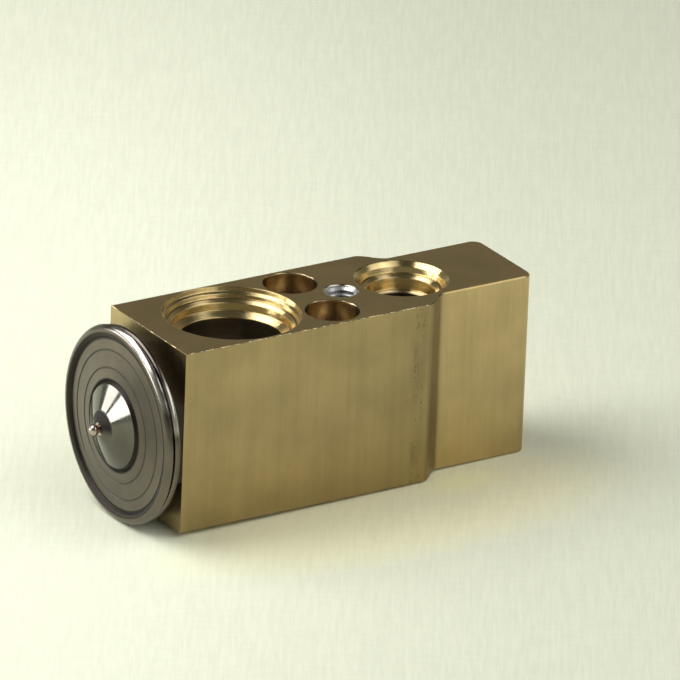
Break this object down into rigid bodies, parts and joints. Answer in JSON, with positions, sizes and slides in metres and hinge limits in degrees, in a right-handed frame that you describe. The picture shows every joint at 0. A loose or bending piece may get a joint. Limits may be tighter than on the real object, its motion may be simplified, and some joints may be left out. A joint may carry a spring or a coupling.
{
  "type": "thermostatic expansion valve",
  "caption": "Block-type expansion valve: a gold aluminium block with suction and liquid ports, a round steel power head on one end and an adjusting screw in its narrow nose.",
  "frame": {"origin": "midway between the two mounting screw holes, on the evaporator-side face", "axes": "+Z from the evaporator face to the line face, along the ports; +X along the valve axis from the power head to the adjusting screw; +Y across the block"},
  "size_m": [0.0886, 0.037, 0.037],
  "materials": {
    "gold_aluminium": "yellow chromate on machined extrusion",
    "stainless_steel": "pressed and turned stainless steel",
    "spring_steel": "drawn wire and strip",
    "plain_aluminium": "turned",
    "brass": "turned",
    "seal_rubber": "moulded"
  },
  "bodies": {
    "block": {"valve_body": "gold_aluminium", "head_cap": "stainless_steel", "charge_ball": "stainless_steel", "diaphragm": "spring_steel", "head_base": "stainless_steel", "head_gasket": "seal_rubber", "rod_seal": "seal_rubber", "seal_retainer": "spring_steel", "bias_spring": "spring_steel"},
    "rod_train": {"diaphragm_stop": "stainless_steel", "sensing_rod": "plain_aluminium", "push_pin": "stainless_steel", "valve_ball": "stainless_steel", "ball_carrier": "stainless_steel", "damping_spring": "spring_steel"},
    "adjuster_seal": {"adjuster_o_ring": "seal_rubber"},
    "adjuster": {"adjusting_screw": "brass"}
  },
  "joints": [
    {"name": "valve_stroke", "type": "slide", "parent": "block", "child": "rod_train", "axis": [1, 0, 0], "range_m": [0, 0.0007], "stiffness_N_per_m": 5500, "springref_m": -0.001, "deforming": ["bias_spring", "diaphragm"]},
    {"name": "adjuster_slide", "type": "slide", "parent": "block", "child": "adjuster_seal", "axis": [1, 0, 0], "range_m": [-0.00101, 0.00101], "deforming": ["bias_spring"]},
    {"name": "adjuster_turn", "type": "hinge", "parent": "adjuster_seal", "child": "adjuster", "pos_m": [0.036, 0, 0.0175], "axis": [1, 0, 0], "range_deg": [-360, 360]}
  ],
  "couplings": [
    {"joint": "adjuster_slide", "follows": "adjuster_turn", "m_per_rad": 0.00015915}
  ]
}
